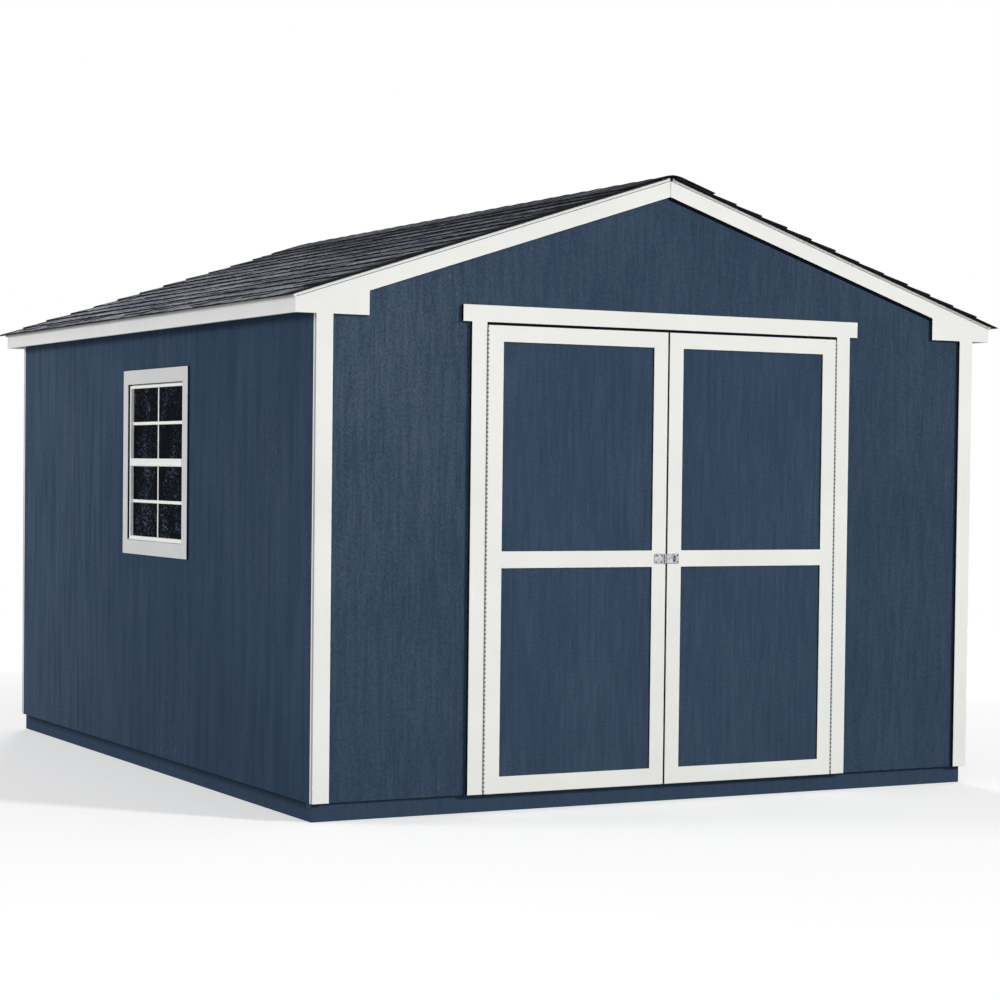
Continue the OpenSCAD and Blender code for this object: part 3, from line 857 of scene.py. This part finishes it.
def hinge_screws(side):
    """Screws through both plates of a hinge."""
    name = side_name(side)
    door = bmesh.new()
    jamb = bmesh.new()
    sunk = HINGE_T - HAIR
    z = HINGE_FOOT + HINGE_SCREW_FIRST
    while z < HINGE_TIP - HINGE_SCREW_LAST:
        screw_head(door, (side * (LEAF_X + sunk), -STILE_Y, z), (side, 0, 0), *HINGE_SCREW)
        screw_head(jamb, (side * (JAMB_X - sunk), -STILE_Y, z), (-side, 0, 0), *HINGE_SCREW)
        z += HINGE_SCREW_STEP
    piece(f"{name}_hinge_door_screws", door, (SCREW,), f"{name}_door", smooth=True)
    piece(f"{name}_hinge_jamb_screws", jamb, (SCREW,), "root", smooth=True)


def head_weather_strip():
    """Dark strip in the gap over the doors, with a block at each end, in the darkened edge paint as painted
    shade of the gap.
    """
    bm = bmesh.new()
    reach = LEAF_X - 0.004
    low = LEAF_TOP - STRIP_LAP
    block(bm, (-reach, -HALF_D, low), (reach, -HALF_D - STRIP_T, HEAD_Z + 0.004))
    for side in (-1, 1):
        block(bm, (side * (LEAF_X + 0.0008), -HALF_D, low),
              (side * (JAMB_X + 0.0005), -HALF_D - STRIP_END_T, HEAD_Z - 0.0005))
    piece("head_weather_strip", bm, (NAVY_SHADED_EDGE,), "root")


def door_weather_strip(side):
    """Dark strip on the edge of a door that meets the other one, in the darkened edge paint as painted shade
    of the seam.
    """
    bm = bmesh.new()
    block(bm, (side * 0.0009, -LEAF_FACE + 0.0015, SKIRT_Z + 0.002),
          (side * (LEAF_IN + 0.0005), -PANEL_Y - SINK, LEAF_TOP - 0.002))
    soften(bm, FINE_EDGE, 1)
    name = side_name(side)
    piece(f"{name}_door_weather_strip", bm, (NAVY_SHADED_EDGE,), f"{name}_door")


def plate_outline(x0, x1, z0, z1, corner):
    """Rectangle with cut corners, as points in X and Z."""
    return [(x0 + corner, z0), (x1 - corner, z0), (x1, z0 + corner), (x1, z1 - corner),
            (x1 - corner, z1), (x0 + corner, z1), (x0, z1 - corner), (x0, z0 + corner)]


def hasp_plate():
    """Plate and barrel of the hasp, on the left door."""
    bm = bmesh.new()
    points = plate_outline(-HASP_EDGE, HASP_PIN_X, HASP_LOW, HASP_HIGH, HASP_CORNER)
    outline_along_y(bm, points, -LEAF_FACE - HASP_T, -LEAF_FACE)
    third = (HASP_HIGH - HASP_LOW) / 3
    pin_y = -LEAF_FACE - HASP_BARREL_R
    for k in range(3):
        low = HASP_LOW + 0.0003 + k * third
        high = low + HASP_BARREL_L
        rod(bm, (HASP_PIN_X, pin_y, low), (HASP_PIN_X, pin_y, high), HASP_BARREL_R, 16, KNUCKLE_LIP)
    soften(bm, FINE_EDGE, 1, 1.2)
    piece("hasp_left_plate", bm, (ZINC,), "left_door", ("hasp_plate",), smooth=True)


def hasp_strap():
    """Strap of the hasp with its slot, on a back plate on the right door."""
    bm = bmesh.new()
    points = plate_outline(LEAF_IN + 0.0005, HASP_EDGE, HASP_LOW, HASP_HIGH, HASP_CORNER)
    outline_along_y(bm, points, -LEAF_FACE - HASP_T, -LEAF_FACE)
    us = [STRAP_IN, SLOT_X - SLOT_W / 2, SLOT_X + SLOT_W / 2, STRAP_OUT]
    vs = [HASP_LOW + SINK, LOCK_Z - SLOT_H / 2, LOCK_Z + SLOT_H / 2, HASP_HIGH - SINK]
    outer = -LEAF_FACE - STRAP_FACE
    grid_solid(bm, us, vs, {(1, 1)}, lambda u, v, w: (u, outer + w, v), STRAP_T)
    soften(bm, FINE_EDGE, 1, 0.6)
    piece("hasp_right_strap", bm, (ZINC,), "right_door", ("hasp_strap",))


def hasp_staple():
    """Staple in the strap's slot, with a dark field behind it as painted shade in the slot."""
    bm = bmesh.new()
    staple_loop(bm, SLOT_X, -LEAF_FACE - HASP_T, LOCK_Z)
    wide, tall = SLOT_W / 2 + SINK, SLOT_H / 2 + SINK
    # Dark field behind the slot: painted shade.
    block(bm, (SLOT_X - wide, -LEAF_FACE - 0.0029, LOCK_Z - tall),
          (SLOT_X + wide, -LEAF_FACE - 0.0024, LOCK_Z + tall))
    piece("hasp_ring", bm, (SCREW,), "right_door", ("hasp_staple",), smooth=True)


def hasp_screws(name, xs, out, radius):
    """Pairs of screws in the part of the hasp on one door."""
    bm = bmesh.new()
    for x in xs:
        for z in (LOCK_Z - HASP_SCREW_Z, LOCK_Z + HASP_SCREW_Z):
            screw_head(bm, (x, -LEAF_FACE - out, z), (0, -1, 0), radius)
    piece(f"hasp_{name}_screws", bm, (SCREW,), f"{name}_door", smooth=True)


def staple_loop(bm, x, y, z):
    """Bent rod that stands out from a plate as a loop."""
    radius = 0.0025
    leg = 0.0055
    half = 0.009
    path = [Vector((x, y, z - half)), Vector((x, y - leg, z - half))]
    for k in range(9):
        a = math.pi * k / 8
        path.append(Vector((x, y - leg - leg * math.sin(a), z - half * math.cos(a))))
    path += [Vector((x, y - leg, z + half)), Vector((x, y, z + half))]
    across = Vector((1, 0, 0))
    loops = []
    for i, point in enumerate(path):
        ahead = path[min(i + 1, len(path) - 1)] - path[max(i - 1, 0)]
        up = ahead.cross(across).normalized()
        spots = [math.cos(a) * across + math.sin(a) * up for a in angles(12)]
        loops.append([bm.verts.new(point + radius * spot) for spot in spots])
    loft(bm, loops)


# Windows


def window_bars(side):
    """Bars that part each row of lights into four."""
    bm = bmesh.new()
    edge = SASH_EDGE - SASH_W
    margin = WINDOW_W / 2 - edge
    height = (WINDOW_H - MEET_H) / 2 - margin
    outer, inner = side * (GLASS_X + BAR_T), side * (GLASS_X + 2 * HAIR)
    us = [WINDOW_Y - edge, WINDOW_Y - BAR_W / 2, WINDOW_Y + BAR_W / 2, WINDOW_Y + edge]
    lights = {(0, 0), (2, 0), (0, 2), (2, 2)}
    for low in (WINDOW_Z + margin, WINDOW_Z + (WINDOW_H + MEET_H) / 2):
        mid = low + height / 2
        vs = [low, mid - CROSS_W / 2, mid + CROSS_W / 2, low + height]
        grid_solid(bm, us, vs, lights, lambda u, v, w: (outer if w == 0 else inner, u, v), 1)
    soften(bm, 0.001, 2)
    piece(f"{side_name(side)}_window_bars", bm, (VINYL,), "root")


def window_strips(side):
    """Strips on the rail between the rows of lights and at the foot of the sash."""
    bm = bmesh.new()
    edge = SASH_EDGE - SASH_W
    rail = WINDOW_Z + (WINDOW_H - MEET_H) / 2
    for low, high in RAIL_STRIPS:
        block(bm, (side * SASH_X, WINDOW_Y - edge, rail + low),
              (side * (SASH_X + BAR_T), WINDOW_Y + edge, rail + high))
    block(bm, (side * GLASS_X, WINDOW_Y - WINDOW_W / 2, WINDOW_Z),
          (side * (SASH_X + SINK), WINDOW_Y + WINDOW_W / 2, WINDOW_Z + SILL_STRIP_H))
    soften(bm, 0.001, 1)
    piece(f"{side_name(side)}_window_strips", bm, (VINYL,), "root")


def window_edge(face):
    """Edge of a window casing, which the siding's paint laps onto, darkened as painted shade."""
    return abs(face.normal.x) < 0.5


# Roof


def shingle_tab(bm, side, y0, y1, butt, rise):
    """One tab: a thin wedge with a rough butt that lies on the course below."""
    skew = rng.uniform(-0.0012, 0.0012)
    head = max(butt - COURSE - TAB_LAP, SHINGLE_HEAD)
    count = max(2, round((y1 - y0) / TAB_COLUMN))
    columns = []
    for k in range(count + 1):
        y = y0 + (y1 - y0) * k / count
        end = butt + skew * (1 - 2 * k / count) + rng.uniform(-0.0035, 0.0015)
        top = SHINGLE_BUTT + rise + rng.uniform(-0.0012, 0.0012)
        points = ((end, 0.0046), (end, top), (head, TAB_HEAD_T), (head, 0.0002))
        columns.append([bm.verts.new(on_slope(side, s, y, t)) for s, t in points])
    loft(bm, columns)


def laminate(bm, side, y0, y1, butt):
    """Thin upper layer on a part of a tab, with its own lower edge."""
    wide = rng.uniform(0.4, 0.95) * (y1 - y0)
    start = rng.uniform(y0, y1 - wide)
    low_s = butt - COURSE * rng.uniform(0.38, 0.66)
    high_s = max(butt - COURSE - 0.01, 0.018)
    if low_s - high_s < 0.03:
        return
    ends = []
    for s in (low_s, high_s):
        under = SHINGLE_BUTT - (butt - s) * (SHINGLE_BUTT - TAB_HEAD_T) / (COURSE + TAB_LAP)
        for y in (start, start + wide):
            thick = 0.0017 if s == low_s else 0.0006
            ends.append([bm.verts.new(on_slope(side, s, y, t)) for t in (under - 0.002, under + thick)])
    a, b, c, d = ends
    for face in ((a[1], b[1], d[1], c[1]), (a[0], c[0], d[0], b[0]), (a[0], b[0], b[1], a[1]),
                 (c[0], c[1], d[1], d[0]), (a[0], a[1], c[1], c[0]), (b[0], d[0], d[1], b[1])):
        bm.faces.new(face)


def cut_edge(face):
    """Face of a shingle that isn't its granule side."""
    return face.normal.z < 0.5


def shingles(side):
    """All tabs of a slope, each course set off from the one below."""
    bm = bmesh.new()
    for i in range(math.ceil(SLOPE_L / COURSE)):
        butt = SLOPE_L - i * COURSE
        lowered = FIRST_COURSE_LOW if i == 0 else 0.0
        start = -SHINGLE_Y - (i % 2) * TAB_W / 2 - (i % 3) * 0.02
        while start < SHINGLE_Y:
            y0 = max(start + TAB_SLOT / 2, -SHINGLE_Y + rng.uniform(0, RAGGED))
            y1 = min(start + TAB_W - TAB_SLOT / 2, SHINGLE_Y - rng.uniform(0, RAGGED))
            if y1 - y0 > 0.02:
                shingle_tab(bm, side, y0, y1, butt, rng.uniform(-0.0022, 0.0010) - lowered)
            if y1 - y0 > 0.15 and rng.random() < 0.5:
                laminate(bm, side, y0, y1, butt)
            start += TAB_W
    soften(bm, 0.0018, 1)
    name = side_name(side)
    piece(f"{name}_shingle_tabs", bm, (SHINGLE, ASPHALT), "root", (f"{name}_shingles",),
          pick=cut_edge)


def shingle_base(side):
    """Thin dark sheet under the tabs of a slope."""
    bm = bmesh.new()
    reach = SHINGLE_Y - RAGGED
    slope_sheet(bm, side, (-reach, reach), (SHINGLE_HEAD, SLOPE_L - 0.006), (0.0004, 0.0032))
    piece(f"{side_name(side)}_shingle_base", bm, (ASPHALT,), "root")


def slope_sheet(bm, side, ys, ways, heights):
    """Flat sheet on a slope between two places along the ridge, down the slope and over it."""
    (near, far), (low, high) = ways, heights
    corners = ((near, low), (far, low), (far, high), (near, high))
    loft(bm, [[bm.verts.new(on_slope(side, s, y, t)) for s, t in corners] for y in ys])


def right_rake_shade_felt():
    """Dark felt on the right slope only, turned down over the edges of the sheathing: painted shade under
    the shingles' overhang.
    """
    bm = bmesh.new()
    edge = FACE_Y + SHEATHING_LIP
    ways = (SHINGLE_HEAD, EAVE_X / math.cos(PITCH))
    for end in (-1, 1):
        slope_sheet(bm, 1, (end * (edge + 0.0002), end * (edge + 0.0016)), ways, (-0.0045, 0.0004))
    piece("right_rake_shade_felt", bm, (ASPHALT,), "root")


def ridge_caps():
    """Bent shingles over the ridge, each lapping over the one in front of it."""
    bm = bmesh.new()
    y = -SHINGLE_Y
    while y < SHINGLE_Y - 0.06:
        raised = rng.uniform(0.0, 0.0008)
        ridge_cap(bm, y, min(y + CAP_L, SHINGLE_Y), raised)
        y += CAP_STEP
    soften(bm, 0.0006, 1)
    piece("ridge_cap_shingles", bm, (CAP_SHINGLE, ASPHALT), "root", ("ridge_cap",),
          pick=cut_edge)


def ridge_cap(bm, y0, y1, raised):
    """One bent shingle with a rounded crown."""
    steps = [-CAP_W, -0.1, -0.06, -0.04, -0.026, -0.013, 0.0, 0.013, 0.026, 0.04, 0.06, 0.1, CAP_W]
    skew = rng.uniform(-0.0015, 0.0015)
    rows = []
    for y, low in ((y0, CAP_LIFT + raised), (y1, CAP_LIFT - 0.0065 * (y1 - y0) / CAP_L)):
        for t in (low, low + CAP_T):
            row = []
            for u in steps:
                crown = max(0.0, CAP_CROWN - abs(u)) ** 2 / (2 * CAP_CROWN) * SLOPE
                point = on_slope(1 if u >= 0 else -1, abs(u), y + skew * (u / CAP_W), t)
                if u == 0.0:
                    point = Vector((0, y, RIDGE_Z + t / math.cos(PITCH)))
                point.z -= crown
                row.append(bm.verts.new(point))
            rows.append(row)
    a, b, c, d = rows
    last = len(steps) - 1
    for k in range(last):
        bm.faces.new((b[k], b[k + 1], d[k + 1], d[k]))
        bm.faces.new((a[k], c[k], c[k + 1], a[k + 1]))
        bm.faces.new((a[k], a[k + 1], b[k + 1], b[k]))
        bm.faces.new((c[k], d[k], d[k + 1], c[k + 1]))
    bm.faces.new((a[0], b[0], d[0], c[0]))
    bm.faces.new((a[last], c[last], d[last], b[last]))


# Floor


def end_rims():
    """Rims under the end walls, with rounded edges."""
    bm = bmesh.new()
    for end in (-1, 1):
        block(bm, (-HALF_W, end * RIM_FACE, 0), (HALF_W, end * (RIM_FACE - END_RIM_T), DECK_LOW))
    soften(bm, EDGE)
    piece("end_rims", bm, (NAVY_RIM,), "root", ("floor_end_rims",))


def deck_sheets():
    """The floor deck as three sheets with narrow joints."""
    bm = bmesh.new()
    each = 2 * HALF_D / 3
    for i in range(3):
        y = -HALF_D + i * each
        block(bm, (-HALF_W, y + DECK_JOINT, DECK_LOW), (HALF_W, y + each - DECK_JOINT, DECK_TOP))
    soften(bm, DECK_JOINT, 1)
    piece("deck_sheets", bm, (DECK,), "root", ("floor_deck",))


def paint_nodes():
    """Gives every CAD node that still shows its material."""
    by_node = {
        "floor_side_rims": NAVY_SIDE_RIM_SHADED, "left_wall_siding": NAVY_LEFT,
        "right_wall_siding": NAVY, "left_door_panel": NAVY_DOOR,
        "right_door_panel": NAVY_DOOR, "floor_joists": LUMBER[0], "side_wall_plates": LUMBER[1],
        "end_wall_plates": LUMBER[0], "side_wall_studs": LUMBER[2], "end_wall_studs": LUMBER[2],
        "opening_headers": LUMBER[0], "rafters": LUMBER[0], "ridge_board": LUMBER[1],
        "roof_sheathing": SHEATHING, "left_door_ledges": LUMBER[0], "right_door_ledges": LUMBER[0],
        "window_glass": GLASS,
    }
    for name, material in by_node.items():
        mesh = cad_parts[name].data
        mesh.materials.clear()
        mesh.materials.append(material)


# Stage


def seen_rays(tree):
    """1 for rays that look at the stage, straight, in gloss or through glass, else 0."""
    rays = tree.nodes.new("ShaderNodeLightPath")
    seen = rays.outputs["Is Camera Ray"]
    for kind in ("Is Glossy Ray", "Is Transmission Ray"):
        both = tree.nodes.new("ShaderNodeMath")
        both.operation = "MAXIMUM"
        tree.links.new(seen, both.inputs[0])
        tree.links.new(rays.outputs[kind], both.inputs[1])
        seen = both.outputs[0]
    return seen


def mix_shaders(tree, factor, first, second):
    """Shader between two shaders by a factor."""
    made = tree.nodes.new("ShaderNodeMixShader")
    tree.links.new(factor, made.inputs["Fac"])
    tree.links.new(first, made.inputs[1])
    tree.links.new(second, made.inputs[2])
    return made.outputs[0]


def floor_material():
    """Pale floor that takes the shadow, white further out, and darker as a source of light."""
    s = Shader("studio_floor", roughness=0.9, specular=0.0)
    cloud = s.noise((0.3, 0.3, 0.3), detail=2)
    s.colour(s.ramp(cloud, [(0.3, (0.75, 0.75, 0.75)), (0.7, (0.77, 0.77, 0.77))]))
    s.bsdf.inputs["Emission Color"].default_value = (1, 1, 1, 1)
    s.bsdf.inputs["Emission Strength"].default_value = FLOOR_GLOW
    coords = s.add("ShaderNodeTexCoord")
    reach = s.add("ShaderNodeVectorMath")
    reach.operation = "LENGTH"
    s.join(coords.outputs["Object"], reach.inputs[0])
    fade = s.add("ShaderNodeMapRange", **{"From Min": FLOOR_FADE[0], "From Max": FLOOR_FADE[1]})
    s.join(reach.outputs["Value"], fade.inputs["Value"])
    white = s.add("ShaderNodeEmission", Strength=1.0)
    bounce = s.add("ShaderNodeBsdfDiffuse", Color=(0.5, 0.5, 0.5, 1))
    near = mix_shaders(s.tree, fade.outputs["Result"], s.bsdf.outputs[0], white.outputs[0])
    both = mix_shaders(s.tree, seen_rays(s.tree), bounce.outputs[0], near)
    s.join(both, s.tree.nodes["Material Output"].inputs["Surface"])
    return s.material


def studio_floor():
    """Floor under the shed, as wide as the camera sees."""
    bm = bmesh.new()
    half = FLOOR_HALF
    corners = ((-half, -half), (half, -half), (half, half), (-half, half))
    bm.faces.new([bm.verts.new((x, y, -0.0005)) for x, y in corners])
    mesh = bpy.data.meshes.new("studio_floor")
    bm.to_mesh(mesh)
    bm.free()
    mesh.materials.append(floor_material())
    made = bpy.data.objects.new("studio_floor", mesh)
    bpy.context.scene.collection.objects.link(made)


def soft_world(strength):
    """White surroundings: white to the eye and in reflections, softer as light."""
    world = bpy.data.worlds.new("soft_world")
    bpy.context.scene.world = world
    world.use_nodes = True
    tree = world.node_tree
    tree.nodes.clear()
    shades = []
    for power in (strength, 1.0):
        shade = tree.nodes.new("ShaderNodeBackground")
        shade.inputs["Color"].default_value = (1, 1, 1, 1)
        shade.inputs["Strength"].default_value = power
        shades.append(shade.outputs[0])
    out = tree.nodes.new("ShaderNodeOutputWorld")
    tree.links.new(mix_shaders(tree, seen_rays(tree), *shades), out.inputs["Surface"])


def soft_lamp(name, at, aim, size, power):
    """Square soft lamp that looks at a point."""
    lamp = bpy.data.lights.new(name, "AREA")
    lamp.shape = "SQUARE"
    lamp.size = size
    lamp.energy = power
    made = bpy.data.objects.new(name, lamp)
    made.location = at
    made.rotation_euler = (Vector(aim) - Vector(at)).to_track_quat("-Z", "Y").to_euler()
    bpy.context.scene.collection.objects.link(made)


def photo_camera():
    """Camera at the photo's place."""
    turn, tilt, roll = (math.radians(v) for v in CAMERA_TURN)
    level = Vector((math.sin(turn), math.cos(turn), 0))
    right = Vector((math.cos(turn), -math.sin(turn), 0))
    ahead = level * math.cos(tilt) + Vector((0, 0, 1)) * math.sin(tilt)
    up = Vector((0, 0, 1)) * math.cos(tilt) - level * math.sin(tilt)
    right, up = right * math.cos(roll) + up * math.sin(roll), up * math.cos(roll) - right * math.sin(roll)
    data = bpy.data.cameras.new("photo_camera")
    data.sensor_fit = "HORIZONTAL"
    data.sensor_width = SENSOR
    data.lens = FOCAL / PICTURE * SENSOR
    data.shift_x = -(CENTRE[0] - PICTURE / 2) / PICTURE
    data.shift_y = (CENTRE[1] - PICTURE / 2) / PICTURE
    data.clip_end = 200
    made = bpy.data.objects.new("photo_camera", data)
    bpy.context.scene.collection.objects.link(made)
    turned = Matrix((right, up, -ahead)).transposed().to_4x4()
    made.matrix_world = Matrix.Translation(CAMERA_AT) @ turned
    bpy.context.scene.camera = made


front_siding()
back_siding()
for end in (-1, 1):
    for side in (-1, 1):
        gable_trim(end, side)
caulk_and_shade_lines()
ridge_plugs()
rake_shadow_beads()
door_casing()
copied("eave_fascias", "fascias", (FASCIA_WHITE,))
copied("eave_soffits", "soffits", (WHITE,))
copied("window_casings", "casings_of_windows", (CASING_WHITE, NAVY_SHADED_EDGE), pick=window_edge)
copied("window_frames", "frames_of_windows", (VINYL,), 0.001)
copied("window_sashes", "sashes_of_windows", (VINYL,))
for side in (-1, 1):
    door_frame(side)
    door_skins(side)
    hinge_knuckles(side)
    hinge_screws(side)
    window_bars(side)
    window_strips(side)
    shingles(side)
    shingle_base(side)
hasp_plate()
hasp_strap()
hasp_staple()
hasp_screws("left", (-0.049, -0.024), HASP_T - HAIR, 0.0042)
hasp_screws("right", (0.050,), STRAP_FACE - HAIR, 0.0036)
head_weather_strip()
for side in (-1, 1):
    door_weather_strip(side)
right_rake_shade_felt()
ridge_caps()
end_rims()
deck_sheets()
paint_nodes()

studio_floor()
soft_world(WORLD_LIGHT)
for lamp in LAMPS:
    soft_lamp(*lamp)
photo_camera()
bpy.context.scene.view_settings.view_transform = "Standard"
